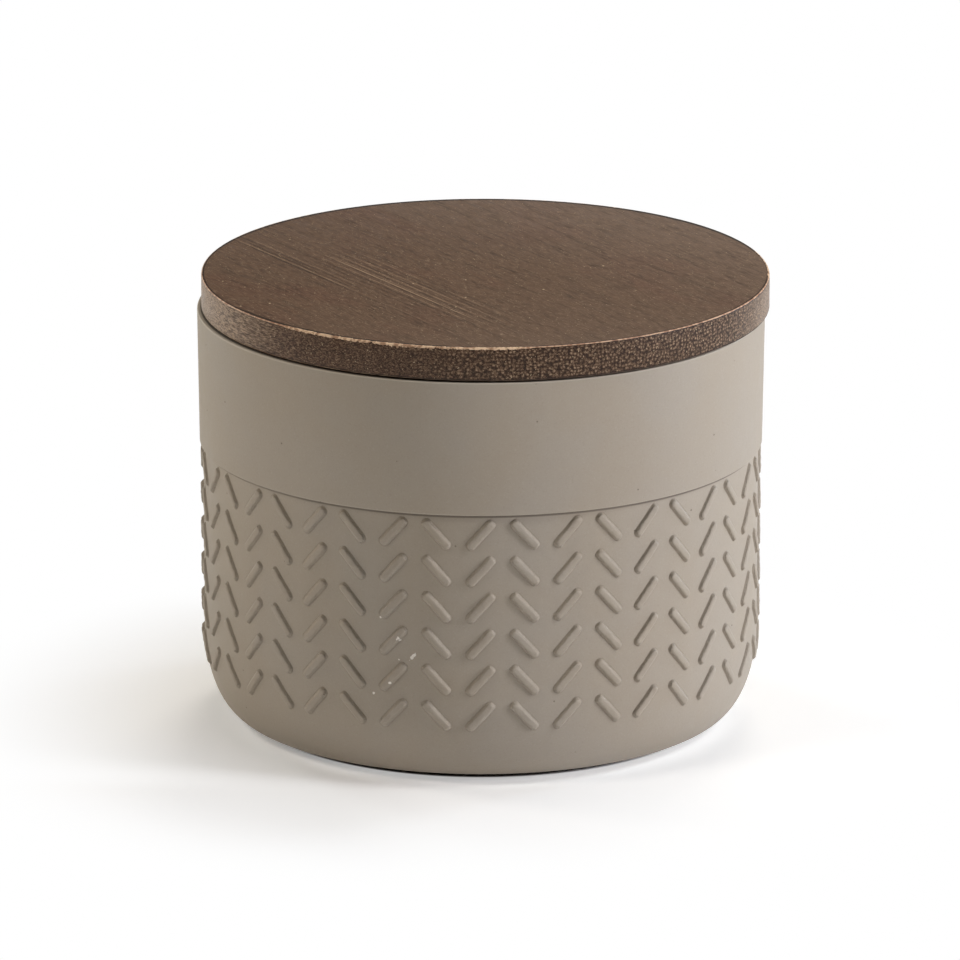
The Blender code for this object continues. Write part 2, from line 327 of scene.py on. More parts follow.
# Lines along the seams between strips: place across the grain and half width in millimetres, and strength
PALE_SEAMS = (
    (-19.2, 0.16, 0.35), (-17.75, 0.15, 0.75), (-17.2, 0.1, 0.4), (-15.9, 0.12, 0.55),
    (-14.2, 0.16, 0.4), (-11.9, 0.15, 0.3),
)
DARK_SEAMS = (
    (-22.6, 0.24, 0.4), (-21.3, 0.22, 0.5), (-20.1, 0.26, 0.6), (-18.2, 0.16, 0.65),
    (-16.5, 0.18, 0.75), (-15.3, 0.14, 0.65), (-13.5, 0.26, 0.6), (-12.6, 0.2, 0.5),
    (-10.8, 0.24, 0.4),
)
LEFT_PALE_SEAMS = ((-25.6, 0.15, 0.5), (-23.3, 0.14, 0.35))
LEFT_DARK_SEAMS = ((-26.1, 0.2, 0.85), (-24.9, 0.2, 0.7), (-24, 0.2, 0.6))
# Groups of them: dark ones, pale ones, their middle along the grain and half their length in millimetres
SEAM_GROUPS = (
    (DARK_SEAMS, PALE_SEAMS, 3, 30),
    (LEFT_DARK_SEAMS, LEFT_PALE_SEAMS, -22, 24),
)
SEAM_THREAD_RAMP = (0.38, 0.55, 0.35, 1)
SEAM_END_STRENGTH = 0.2
# Pale marks on the board's face: place and half width in millimetres
MARKS = (
    (-45.3, -6.9, 0.2), (-37.3, 2.5, 0.18), (-41.8, -23.3, 0.22), (-36.8, -21.4, 0.24),
    (-33.1, -31.5, 0.22), (-34, 21.4, 0.18), (-4.4, -23.6, 0.22), (-2.7, -17.3, 0.22),
    (-2.7, -5.7, 0.2), (-11.9, -8.2, 0.2), (21.5, 3.8, 0.26), (10.9, -12, 0.24),
)
# Painted sheen on the board's side where it turns away from the viewer
LIMB_SHEEN_RAMP = (0.45, 0.9, 0, 0.68)
LIMB_SHEEN_CRUMB_RAMP = (0.42, 0.54, 1, 0.25)
# Bare line along the arrises: its width, the stretches where it is rubbed wider (bearing and half spread in
# degrees), and where the lower one shows most
BARE_REACH = 0.045 * MM
BARE_WOBBLE = 0.06 * MM
RUBBED_ARRIS = ((-30, 16), (-6, 16), (96, 12), (168, 22), (-132, 18))
RUBBED_REACH = 0.12 * MM
RUBBED_WOBBLE = 0.75 * MM
WEAR_NOISE = (0.7 * MM, 3, 0.7)
WEAR_EDGE = 0.02 * MM
BARE_LOWER_REACH = 0.03 * MM
BARE_LOWER_BEARING = -75
BARE_LOWER_RAMP = (0.4, 0.9, 0.15, 0.8)
DULL_NOISE = (0.8 * MM, 3)
DULL_RAMP = (0.42, 0.6, 0, 0.65)
# Dark stain beside the bare line, widened at the back with painted shade: its width, and how many times
# wider it is on the face at back and left
STAIN_REACH = 0.22 * MM
STAIN_FLAT_REACH = 0.14 * MM
STAIN_BACK_SHADE_RAMP = (0.1, 0.8, 1, 6)
STAIN_LEFT_BEARING = -32
STAIN_LEFT_RAMP = (0.84, 0.95, 1, 4.5)
STAIN_STRENGTH = 0.85
STAIN_SIDE_LOSS = 0.9

# Paper sheet that curves up as a backdrop
BACKDROP_RADIUS = 6
BACKDROP_HEIGHT = 0.7
BACKDROP_SEGMENTS = 96
# Its white as light meets it, and as it is seen near the jar. Between two distances from the axis the seen
# paper passes into plain white
FLOOR_SHARE = 1
FLOOR_SHOWN_SHARE = 0.98
FLOOR_FADE = (42 * MM, 96 * MM)
# Glow of the paper, painted light that lifts the shade round the foot: it starts, is full and has faded at
# these distances from the foot. Beside the foot it is weaker at the left, and further out it is stronger at
# the right
GLOW_DISTANCES = (-1.9 * MM, -1.2 * MM, 7.5 * MM)
GLOW_NEAR = 0.42
GLOW_NEAR_LEFT = 0.16
GLOW_LEFT = (-45 * MM, -15 * MM)
GLOW_OUTSIDE = 0.12
GLOW_RIGHT_SHARE = 1.6
# Painted shadow in front of the jar at its left: where it starts towards the viewer and to the left, where
# it has gone, and how much of the glow and of the far paper's white it takes away
SHADOW_FRONT = (38 * MM, 50 * MM)
SHADOW_LEFT = (0, 28 * MM)
SHADOW_END = (70 * MM, 105 * MM)
SHADOW_GLOW_SHARE = 0.95
SHADOW_FAR_SHARE = 0.4

# The room's dim light, and soft boxes: name, bearing and height angle in degrees, width, power and colour
ROOM_COLOUR = (1, 0.9, 0.8)
ROOM_STRENGTH = 0.02
LAMP_DISTANCE = 1.4
LAMPS = (
    ("key_lamp", 75, 15, 0.35, 9.6, (0.925, 0.917, 1)),
    ("high_lamp", 75, 45, 0.4, 6.6, (0.97, 1, 1)),
    ("right_back_lamp", 120, 12, 0.3, 5.7, (0.74, 0.86, 1)),
    ("back_lamp", 168, 50, 0.5, 4.2, (1, 0.94, 0.83)),
    ("left_back_lamp", -140, 20, 0.3, 3.2, (0.9, 1, 0.99)),
    ("left_lamp", -112, 20, 0.3, 4.2, (1, 0.92, 0.82)),
    ("left_high_lamp", -60, 45, 0.4, 4.1, (1, 0.945, 0.866)),
    ("top_lamp", 0, 88, 0.5, 1.7, (1, 0.87, 0.83)),
)


# Meshes

def round_point(radius, height, angle):
    """A point on a ring round the Z axis; angle 0 faces the viewer."""
    return Vector((radius * math.sin(angle), -radius * math.cos(angle), height))


def curve(centre, width, height, start, end, steps=ROUND_STEPS):
    """Points of an elliptic arc about centre, in (radius, height), end points included."""
    points = []
    for step in range(steps + 1):
        angle = start + (end - start) * step / steps
        points.append((centre[0] + width * math.cos(angle), centre[1] + height * math.sin(angle)))
    return points


def add_rings(bm, profile, segments, closed=False):
    """Turn a profile of (radius, height) round the Z axis; a point on the axis becomes a pole."""
    rings = []
    for radius, height in profile:
        count = 1 if radius == 0 else segments
        places = [round_point(radius, height, math.tau * i / segments) for i in range(count)]
        rings.append([bm.verts.new(place) for place in places])
    pairs = list(zip(rings, rings[1:]))
    if closed:
        pairs.append((rings[-1], rings[0]))
    for lower, upper in pairs:
        for i in range(segments):
            j = (i + 1) % segments
            if len(lower) == 1:
                bm.faces.new((lower[0], upper[j], upper[i]))
            elif len(upper) == 1:
                bm.faces.new((lower[i], lower[j], upper[0]))
            else:
                bm.faces.new((lower[i], lower[j], upper[j], upper[i]))


def place_object(name, data):
    item = bpy.data.objects.new(name, data)
    bpy.context.scene.collection.objects.link(item)
    return item


def smooth_object(name, bm, surface):
    """An object of the finished mesh, shaded smooth."""
    mesh = bpy.data.meshes.new(name)
    bm.to_mesh(mesh)
    bm.free()
    mesh.shade_smooth()
    mesh.materials.append(surface)
    return place_object(name, mesh)


def finish_piece(name, bm, surface, body, node):
    """Close the mesh, shade it smooth, and let it ride on its body in place of its frame node."""
    bmesh.ops.remove_doubles(bm, verts=bm.verts, dist=WELD_DISTANCE)
    bmesh.ops.recalc_face_normals(bm, faces=bm.faces)
    piece = smooth_object(name, bm, surface)
    piece.data.set_sharp_from_angle(angle=SMOOTH_ANGLE)
    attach(piece, body)
    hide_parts(node)


def outer_radius(height):
    """Radius of the wall below the band; it draws in on an elliptic arc towards the foot."""
    if height >= CORNER_TOP:
        return WALL_RADIUS
    drop = (CORNER_TOP - height) / FOOT_CORNER_HEIGHT
    return WALL_RADIUS - FOOT_CORNER_WIDTH * (1 - math.sqrt(max(0, 1 - drop * drop)))


def foot_profile():
    """Underside and rounded foot, up to the lower edge of the dash field."""
    start = math.asin(FOOT_EDGE_ROUND / FOOT_CORNER_HEIGHT)
    end = math.acos(min(1, (CORNER_TOP - FIELD_BOTTOM) / FOOT_CORNER_HEIGHT))
    profile = [(0, body_low.z), (pad_high.y, body_low.z)]
    for step in range(FOOT_STEPS + 1):
        angle = start + (end - start) * step / FOOT_STEPS
        height = CORNER_TOP - FOOT_CORNER_HEIGHT * math.cos(angle)
        profile.append((outer_radius(height), height))
    return profile


def upper_profile():
    """From the top of the dash field over the band and the rim, and down the bore to the floor's middle."""
    top = body_high.z
    profile = [(WALL_RADIUS, FIELD_TOP), (WALL_RADIUS, BAND_BOTTOM)]
    edge = (BAND_FOOT_RADIUS - BAND_EDGE_ROUND, BAND_BOTTOM + BAND_EDGE_ROUND)
    profile += curve(edge, BAND_EDGE_ROUND, BAND_EDGE_ROUND, *LOWER_QUARTER)
    outer = (RIM_RADIUS - RIM_ROUND, top - RIM_ROUND)
    profile += curve(outer, RIM_ROUND, RIM_ROUND, *UPPER_QUARTER)
    inner = (BORE_RADIUS + RIM_ROUND, top - RIM_ROUND)
    profile += curve(inner, RIM_ROUND, RIM_ROUND, math.pi / 2, math.pi)
    fillet = (BORE_RADIUS - FLOOR_FILLET_WIDTH, INNER_FLOOR + FLOOR_FILLET_HEIGHT)
    profile += curve(fillet, FLOOR_FILLET_WIDTH, FLOOR_FILLET_HEIGHT, 0, -math.pi / 2, FILLET_STEPS)
    profile.append((0, INNER_FLOOR))
    return profile


def dash_outline(lean, half_width):
    """A dash's outline with rounded ends at a distance from its spine, in (arc, height)."""
    along = Vector((lean * math.cos(DASH_TILT), math.sin(DASH_TILT)))
    across = Vector((along.y, -along.x))
    power = 2 / DASH_END_SQUARENESS
    points = []
    for end in (1, -1):
        for step in range(DASH_SIDE_STEPS):
            share = step / DASH_SIDE_STEPS - 0.5
            points.append(along * (end * DASH_CORE * share) + across * (end * half_width))
        for step in range(DASH_END_STEPS):
            angle = math.pi * step / DASH_END_STEPS
            forward = max(0, math.sin(angle)) ** power
            sideways = math.copysign(abs(math.cos(angle)) ** power, math.cos(angle))
            middle = along * (end * DASH_CORE / 2)
            points.append(middle + (along * forward + across * sideways) * (end * half_width))
    return points


def spine_distance(point, lean):
    """Distance of a point in (arc, height) from the spine of a dash."""
    along = Vector((lean * math.cos(DASH_TILT), math.sin(DASH_TILT)))
    reach = max(-DASH_CORE / 2, min(DASH_CORE / 2, point.dot(along)))
    return (point - along * reach).length


def dash_cell(lean):
    """Triangles of one cell of the field, as points (arc, height, lift) and index triples."""
    half_arc = COLUMN_ANGLE * WALL_RADIUS / 2
    half_rise = ROW_PITCH / 2
    half_width = DASH_WIDTH / 2
    points = []
    lifts = []
    edges = []
    for inset_share, lift_share in zip(DASH_INSET_SHARES, DASH_LIFT_SHARES):
        outline = dash_outline(lean, half_width * (1 - inset_share))
        first = len(points)
        count = len(outline)
        edges += [(first + i, first + (i + 1) % count) for i in range(count)]
        points += outline
        lifts += [DASH_HEIGHT * lift_share] * count
    for column in range(CELL_STEPS + 1):
        for row in range(CELL_STEPS + 1):
            share_x = 2 * column / CELL_STEPS - 1
            share_y = 2 * row / CELL_STEPS - 1
            place = Vector((half_arc * share_x, half_rise * share_y))
            at_border = 1 in (abs(share_x), abs(share_y))
            if at_border or spine_distance(place, lean) > half_width + DASH_CLEARANCE:
                points.append(place)
                lifts.append(0)
    flat, _, faces, sources, _, _ = delaunay_2d_cdt(points, edges, [], 0, WELD_DISTANCE, True)
    lifted = [(place.x, place.y, lifts[source[0]]) for place, source in zip(flat, sources)]
    return lifted, faces


def add_dash_field(bm):
    """The wall between band and foot with its raised, slightly lumpy dashes, column after column."""
    cells = {lean: dash_cell(lean) for lean in (1, -1)}
    for column in range(COLUMNS):
        points, faces = cells[1 if column % 2 == 0 else -1]
        for row in range(ROWS):
            middle = FIELD_TOP - (row + 0.5) * ROW_PITCH
            corners = []
            for arc, rise, lift in points:
                angle = column * COLUMN_ANGLE + arc / WALL_RADIUS
                height = middle + rise
                place = round_point(outer_radius(height) + lift, height, angle)
                lump = DASH_LUMP * noise.noise(place / DASH_LUMP_SIZE) * lift / DASH_HEIGHT
                corners.append(bm.verts.new(place + round_point(lump, 0, angle)))
            for face in faces:
                bm.faces.new([corners[i] for i in face])


def make_jar(surface):
    """The cast vessel in one piece: foot, wall with dashes, band, rim, bore and floor."""
    bm = bmesh.new()
    segments = COLUMNS * CELL_STEPS
    add_rings(bm, foot_profile(), segments)
    add_rings(bm, upper_profile(), segments)
    add_dash_field(bm)
    finish_piece("jar_casting", bm, surface, "jar", "jar_body")


def make_pad(surface):
    """The foam pad, whose edges are rounded over a third of its thickness."""
    bm = bmesh.new()
    radius = pad_high.y
    edge = (pad_high.z - pad_low.z) / 3
    profile = [(0, pad_low.z)]
    profile += curve((radius - edge, pad_low.z + edge), edge, edge, *LOWER_QUARTER)
    profile += curve((radius - edge, pad_high.z - edge), edge, edge, *UPPER_QUARTER)
    profile.append((0, pad_high.z))
    add_rings(bm, profile, TURNED_SEGMENTS)
    finish_piece("foam_foot", bm, surface, "jar", "base_pad")


def make_board(surface):
    """The wooden board, whose arrises are rounded and a little uneven from wear."""
    bm = bmesh.new()
    radius = board_high.y
    arris = LID_ARRIS_ROUND
    low_arris = LID_LOWER_ROUND
    profile = [(0, board_low.z)]
    corner = (radius - low_arris, board_low.z + low_arris)
    profile += curve(corner, low_arris, low_arris, *LOWER_QUARTER)
    profile += curve((radius - arris, board_high.z - arris), arris, arris, *UPPER_QUARTER)
    profile.append((0, board_high.z))
    add_rings(bm, profile, 2 * TURNED_SEGMENTS)
    middle = (board_low + board_high) / 2
    for vert in bm.verts:
        drop = min(vert.co.z - board_low.z, board_high.z - vert.co.z)
        radial = Vector((vert.co.x, vert.co.y, 0))
        near_arris = radial.length > radius - arris and drop < arris
        if near_arris and drop > 0:
            wear = LID_ARRIS_WEAR * max(0, noise.noise(vert.co / LID_WEAR_SIZE))
            vert.co -= radial.normalized() * wear
    bmesh.ops.translate(bm, verts=bm.verts, vec=(middle.x, middle.y, 0))
    finish_piece("lid_disc", bm, surface, "lid", "lid_board")


def make_plug(surface):
    """The round step under the board, with the groove for its seal."""
    radius = plug_high.y
    low = plug_low.z
    high = plug_high.z
    groove_top = high - GROOVE_DROP
    groove_bottom = groove_top - GROOVE_HEIGHT
    bm = bmesh.new()
    profile = [(0, low)]
    corner = (radius - PLUG_CHAMFER, low + PLUG_CHAMFER)
    profile += curve(corner, PLUG_CHAMFER, PLUG_CHAMFER, *LOWER_QUARTER)
    profile += [
        (radius, groove_bottom),
        (radius - GROOVE_DEPTH, groove_bottom),
        (radius - GROOVE_DEPTH, groove_top),
        (radius, groove_top),
        (radius, high),
        (0, high),
    ]
    add_rings(bm, profile, TURNED_SEGMENTS)
    finish_piece("lid_inner_disc", bm, surface, "lid", "lid_plug")


def make_seal(surface):
    """Silicone ring with two soft lips that reach for the bore."""
    gap = seal_low.z - (plug_high.z - GROOVE_DROP - GROOVE_HEIGHT)
    inner = plug_high.y - GROOVE_DEPTH + gap
    root = plug_high.y
    tip = seal_high.y
    low = seal_low.z
    high = seal_high.z
    lip = SEAL_LIP_THICKNESS
    slack = (lip - SEAL_LIP_TIP) / 2
    half_tip = SEAL_LIP_TIP / 2
    profile = [(inner, low), (root, low)]
    lower_tip = (tip - half_tip, low + slack + half_tip)
    upper_tip = (tip - half_tip, high - slack - half_tip)
    half_turn = (-math.pi / 2, math.pi / 2)
    profile += curve(lower_tip, half_tip, half_tip, *half_turn)
    profile += [(root, low + lip), (root, high - lip)]
    profile += curve(upper_tip, half_tip, half_tip, *half_turn)
    profile += [(root, high), (inner, high)]
    bm = bmesh.new()
    add_rings(bm, profile, TURNED_SEGMENTS, True)
    finish_piece("lid_seal", bm, surface, "seal", "seal_ring")


# Surfaces

class Surface:
    """A new material with a Principled shader, and short ways to add and join its nodes."""

    def __init__(self, name):
        self.material = bpy.data.materials.new(name)
        self.material.use_nodes = True
        self.tree = self.material.node_tree
        self.shader = self.tree.nodes["Principled BSDF"]
        self.place = self.add("TexCoord").outputs["Object"]

    def add(self, kind, inputs=None, **settings):
        node = self.tree.nodes.new("ShaderNode" + kind)
        for key, value in settings.items():
            setattr(node, key, value)
        for key, value in (inputs or {}).items():
            self.feed(node.inputs[key], value)
        return node

    def feed(self, socket, value):
        if isinstance(value, bpy.types.NodeSocket):
            self.tree.links.new(value, socket)
        else:
            socket.default_value = value

    def set(self, **values):
        for key, value in values.items():
            self.feed(self.shader.inputs[key.replace("_", " ")], value)

    def math(self, operation, first, second=0, third=0):
        node = self.add("Math", {0: first, 1: second, 2: third}, operation=operation)
        return node.outputs[0]

    def plus(self, first, second):
        return self.math("ADD", first, second)

    def minus(self, first, second):
        return self.math("SUBTRACT", first, second)

    def times(self, first, second):
        return self.math("MULTIPLY", first, second)

    def times_plus(self, first, second, third):
        return self.math("MULTIPLY_ADD", first, second, third)

    def vector_math(self, operation, first, second=(0, 0, 0), output="Vector"):
        node = self.add("VectorMath", {0: first, 1: second}, operation=operation)
        return node.outputs[output]

    def length(self, vector):
        return self.vector_math("LENGTH", vector, output="Value")

    def dot(self, first, second):
        return self.vector_math("DOT_PRODUCT", first, second, "Value")

    def parts(self, vector):
        return self.add("SeparateXYZ", {0: vector}).outputs

    def join(self, x, y, z):
        return self.add("CombineXYZ", {0: x, 1: y, 2: z}).outputs[0]

    def step(self, value, low, high, from_value=0, to_value=1):
        """from_value below low, to_value above high, and a smooth passage in between."""
        node = self.add("MapRange", {0: value, 1: low, 2: high, 3: from_value, 4: to_value})
        node.interpolation_type = "SMOOTHSTEP"
        return node.outputs[0]

    def noise(self, vector, size, detail, roughness=0.5):
        values = {"Vector": vector, "Scale": 1 / size, "Detail": detail, "Roughness": roughness}
        return self.add("TexNoise", values).outputs["Fac"]

    def cells(self, vector, size, output="Distance"):
        return self.add("TexVoronoi", {"Vector": vector, "Scale": 1 / size}).outputs[output]

    def flat_cells(self, vector, size, randomness):
        """Distance to the middle of a cell in the plane, and the three random shares of that cell."""
        values = {"Vector": vector, "Scale": 1 / size, "Randomness": randomness}
        node = self.add("TexVoronoi", values, voronoi_dimensions="2D")
        return node.outputs["Distance"], self.parts(node.outputs["Color"])

    def mix(self, share, first, second):
        first_at, second_at, result_at = MIX_SOCKETS
        node = self.add("Mix", {0: share, first_at: first, second_at: second}, data_type="RGBA")
        return node.outputs[result_at]

    def bump(self, height, distance, strength, normal=None):
        inputs = {"Height": height, "Distance": distance, "Strength": strength}
        if normal is not None:
            inputs["Normal"] = normal
        return self.add("Bump", inputs).outputs[0]


def nick_mask(s):
    """1 at the small pale chips of the wall, 0 elsewhere."""
    wobble = s.noise(s.place, *NICK_NOISE)
    total = 0
    for degrees, height, half_width, half_length, lean in NICKS:
        angle = math.radians(degrees)
        centre = round_point(WALL_RADIUS + DASH_HEIGHT / 2, height * MM, angle)
        offset = s.vector_math("SUBTRACT", s.place, centre)
        side = Vector((math.cos(angle), math.sin(angle), 0))
        tilt = math.radians(lean)
        along = side * math.cos(tilt) + Vector((0, 0, math.sin(tilt)))
        across = side * -math.sin(tilt) + Vector((0, 0, math.cos(tilt)))
        reach = s.math("DIVIDE", s.dot(offset, along), half_length * MM)
        width = s.math("DIVIDE", s.dot(offset, across), half_width * MM)
        depth = s.math("DIVIDE", s.length(offset), NICK_DEPTH)
        square = s.plus(s.times(reach, reach), s.times(width, width))
        square = s.plus(square, s.math("POWER", depth, NICK_DEPTH_POWER))
        ragged = s.times_plus(wobble, NICK_RAGGEDNESS, square)
        total = s.plus(s.step(ragged, *NICK_RAMP), total)
    return s.math("MINIMUM", total, 1)


def pit_mask(s):
    """1 at the small pits, which only some of the cells have, 0 elsewhere."""
    pit = s.step(s.cells(s.place, PIT_PITCH), *PIT_RAMP)
    lot = s.parts(s.cells(s.place, PIT_PITCH, "Color"))[0]
    return s.times(pit, s.step(lot, *PIT_LOT_RAMP))


def dash_distance(s):
    """Distance on the wall from the spine of the nearest dash, as a share of a dash's half width."""
    x, y, z = s.parts(s.place)
    turn = s.math("DIVIDE", s.math("ARCTAN2", x, s.times(y, -1)), COLUMN_ANGLE)
    column = s.math("ROUND", turn)
    odd = s.math("PINGPONG", column, 1)
    lean = s.times_plus(odd, -2, 1)
    arc = s.times(s.minus(turn, column), COLUMN_ANGLE * WALL_RADIUS)
    arc = s.times(arc, lean)
    row = s.math("FRACT", s.math("DIVIDE", s.minus(FIELD_TOP, z), ROW_PITCH))
    rise = s.times(s.minus(0.5, row), ROW_PITCH)
    offset = s.join(arc, rise, 0)
    along = s.dot(offset, (math.cos(DASH_TILT), math.sin(DASH_TILT), 0))
    across = s.dot(offset, (math.sin(DASH_TILT), -math.cos(DASH_TILT), 0))
    beyond = s.math("MAXIMUM", s.minus(s.math("ABSOLUTE", along), DASH_CORE / 2), 0)
    return s.math("DIVIDE", s.length(s.join(beyond, across, 0)), DASH_WIDTH / 2)


def between(s, value, shares):
    """0 outside the first and last of four values, 1 between the middle two."""
    start, full, fade, end = shares
    return s.times(s.step(value, start, full), s.step(value, fade, end, 1, 0))


def place_on_board(s):
    """The height, and the vector from the board's axis."""
    centre = (board_low + board_high) / 2
    x, y, z = s.parts(s.vector_math("SUBTRACT", s.place, (centre.x, centre.y, 0)))
    return z, s.join(x, y, 0)


def rim_painted_shadow(s):
    """How strongly the board's painted shadow darkens the rim's top, which is most at the board's edge."""
    radius = s.length(place_on_board(s)[1])
    start, full, fade, end = [board_high.y + reach for reach in RIM_SHADOW_REACHES]
    inner, most, outer = RIM_SHADOW_STRENGTHS
    inwards = s.step(radius, start, full, inner, most)
    return s.times(inwards, s.step(radius, fade, end, 1, outer / most))


def painted_edge_highlights(s, height, outside):
    """How strongly painted highlights lighten the rim's top edge and the band's lower edge."""
    start, full = [body_high.z - reach for reach in RIM_HIGHLIGHT_REACHES]
    at_rim = s.step(height, start, full, 0, RIM_HIGHLIGHT_STRENGTH)
    below = s.times(s.step(height, BAND_BOTTOM - FINE_STEP, BAND_BOTTOM), outside)
    full, end = [BAND_BOTTOM + reach for reach in BAND_HIGHLIGHT_REACHES]
    above = s.step(height, full, end, BAND_HIGHLIGHT_STRENGTH, 0)
    return s.math("MAXIMUM", at_rim, s.times(below, above))


def band_painted_shade(s, height, outside):
    """How strongly painted shade darkens the wall right under the band."""
    start, full = [BAND_BOTTOM - reach for reach in BAND_SHADE_REACHES]
    dirt = s.step(height, start, full)
    dirt = s.times(dirt, s.step(height, BAND_BOTTOM - FINE_STEP / 2, BAND_BOTTOM, 1, 0))
    strength = s.step(s.parts(s.place)[0], *BAND_SHADE_SIDE_RAMP)
    return s.times(dirt, s.times(strength, outside))


def plain_resin(s, mottle, speckle):
    """Colour of the resin itself: even taupe with broad patches, a faint mottle and a fine speckle."""
    patches = s.step(s.noise(s.place, *PATCH_NOISE), *PATCH_RAMP)
    colour = s.mix(patches, RESIN_WARM, RESIN_COOL)
    colour = s.mix(s.times(mottle, MOTTLE_STRENGTH), colour, RESIN_LIGHT)
    colour = s.mix(s.step(speckle, *DARK_SPECKLE_RAMP), colour, RESIN_DARK)
    return s.mix(s.step(speckle, *PALE_SPECKLE_RAMP), colour, RESIN_PALE)


def make_resin():
    """Matte cast resin with small pits, painted highlights on its edges, painted shade under the band and at
    the dashes' feet, a painted shadow on the rim and some chips.
    """
    s = Surface("taupe_resin")
    mottle = s.step(s.noise(s.place, *MOTTLE_NOISE), *MOTTLE_RAMP)
    speckle = s.noise(s.place, *SPECKLE_NOISE)
    pit = pit_mask(s)
    nick = nick_mask(s)
    height = s.parts(s.place)[2]
    away = s.length(s.vector_math("MULTIPLY", s.place, (1, 1, 0)))
    outside = s.step(away, WALL_RADIUS - WALL_THICKNESS / 2, WALL_RADIUS - WALL_THICKNESS / 4)
    in_field = s.times(outside, s.step(height, FIELD_BOTTOM - SOFT_STEP, FIELD_BOTTOM))
    in_field = s.times(in_field, s.step(height, FIELD_TOP, FIELD_TOP + FINE_STEP, 1, 0))
    unevenness = s.minus(s.noise(s.place, *FLANK_NOISE), 0.5)
    spine = s.times_plus(unevenness, FLANK_WOBBLE_SHARE, dash_distance(s))

    colour = s.mix(s.times(pit, PIT_STRENGTH), plain_resin(s, mottle, speckle), RESIN_PIT)
    # Painted highlights: the rim's top edge and the band's lower edge are lightened as if lit
    colour = s.mix(painted_edge_highlights(s, height, outside), colour, RESIN_EDGE_HIGHLIGHT)
    # Painted shade under the band's step, weaker at the left
    colour = s.mix(band_painted_shade(s, height, outside), colour, RESIN_PAINTED_SHADE)
    # Painted shade round the foot of each dash
    painted_light_share = s.times(between(s, spine, FOOT_SHADE_SHARES), s.times(in_field, FOOT_SHADE_STRENGTH))
    colour = s.mix(painted_light_share, colour, RESIN_PAINTED_SHADE)
    # Painted shadow of the board on the rim's top, darkest at the board's edge
    start, full = [body_high.z - depth for depth in RIM_SHADOW_DEPTHS]
    colour = s.mix(s.times(s.step(height, start, full), rim_painted_shadow(s)), colour, RIM_SHADOW_TONE)
    colour = s.mix(nick, colour, RESIN_CHIP)

    normal = s.bump(s.noise(s.place, *WAVE_NOISE), *WAVE_BUMP)
    normal = s.bump(speckle, *SPECKLE_BUMP, normal)
    flank = s.times(s.step(spine, *FLANK_SHARES, 1, 0), in_field)
    normal = s.bump(flank, *FLANK_BUMP, normal)
    normal = s.bump(s.times(s.plus(pit, nick), -1), *PIT_BUMP, normal)
    s.set(Base_Color=colour, Roughness=s.step(mottle, *RESIN_ROUGHNESS_RAMP), Normal=normal)
    s.set(Specular_IOR_Level=RESIN_SPECULAR)
    return s.material


def make_foam():
    """Dull dark foam with small closed pores."""
    s = Surface("dark_foam")
    pores = s.cells(s.place, PORE_PITCH)
    colour = s.mix(s.step(pores, *PORE_RAMP), FOAM_DEEP, FOAM_PALE)
    colour = s.mix(s.step(s.noise(s.place, *FOAM_NOISE), *FOAM_RAMP), colour, FOAM_DEEP)
    s.set(Base_Color=colour, Roughness=FOAM_ROUGHNESS, Normal=s.bump(pores, *PORE_BUMP))
    s.set(Specular_IOR_Level=FOAM_SPECULAR)
    return s.material


def make_silicone():
    """Milky soft silicone with a faint flow pattern and dust."""
    s = Surface("clear_silicone")
    flow = s.noise(s.place, *FLOW_NOISE)
    colour = s.mix(s.step(flow, *FLOW_RAMP), SILICONE_WARM, SILICONE_COOL)
    colour = s.mix(s.step(s.cells(s.place, LINT_PITCH), *LINT_RAMP), colour, SILICONE_DUST)
    normal = s.bump(s.noise(s.place, *RIPPLE_NOISE), *RIPPLE_BUMP)
    s.set(Base_Color=colour, Roughness=s.step(flow, *SILICONE_ROUGHNESS_RAMP), Normal=normal)
    s.set(Subsurface_Weight=SILICONE_SCATTER, Subsurface_Scale=SILICONE_DEPTH)
    s.set(Subsurface_Radius=SILICONE_DEPTH_SHARES)
    return s.material


class Bamboo(Surface):
    """Surface of bamboo: its tones, the places along its grain, its noises, and how its faces lie."""

    def __init__(self, name, colours):
        super().__init__(name)
        self.wood, self.end_wood, self.dark, self.pale, self.red, self.bleached = colours
        turn = {"Vector": self.place, "Axis": (0, 0, 1), "Angle": -GRAIN_ANGLE}
        turned = self.add("VectorRotate", turn).outputs[0]
        self.along, self.straight, self.up = self.parts(turned)
        self.wander = self.noise(turned, *WANDER_NOISE)
        self.across = self.times_plus(self.wander, WANDER_ACROSS, self.straight)
        self.fibres_at = self.stretched(FIBRE_STRETCH)
        self.fibres = self.noise(self.fibres_at, *FIBRE_NOISE)
        self.threads = self.noise(self.fibres_at, *THREAD_NOISE)
        self.coarse = self.noise(self.stretched(COARSE_STRETCH), *COARSE_NOISE)
        self.broad = self.noise(self.stretched(BROAD_STRETCH), *BROAD_NOISE)
        self.crumbs = self.noise(self.stretched(CRUMB_STRETCH), *CRUMB_NOISE)
        self.find_faces()

    def stretched(self, stretch):
        """Places at which a noise is drawn out along the grain."""
        return self.join(self.math("DIVIDE", self.along, stretch), self.across, self.up)

    def find_faces(self):
        """Shares of flat face, upright side, end grain and side grain at a point, from the way it faces."""
        facing = self.add("TexCoord").outputs["Normal"]
        to_grain = self.dot(facing, (math.cos(GRAIN_ANGLE), math.sin(GRAIN_ANGLE), 0))
        end_face = self.step(self.math("ABSOLUTE", to_grain), *END_RAMP)
        side_face = self.times(self.step(to_grain, *SIDE_FRONT_RAMP), self.step(to_grain, *SIDE_BACK_RAMP))
        self.on_flat = self.step(self.math("ABSOLUTE", self.parts(facing)[2]), *FLAT_RAMP)
        self.on_side = self.minus(1, self.on_flat)
        self.end_face = self.times(self.on_side, end_face)
        self.side_face = self.times(self.on_side, side_face)


def towards(s, bearing, degrees):
    """Cosine between a direction from the board's middle and a bearing in degrees."""
    return s.dot(bearing, round_point(1, 0, math.radians(degrees)))


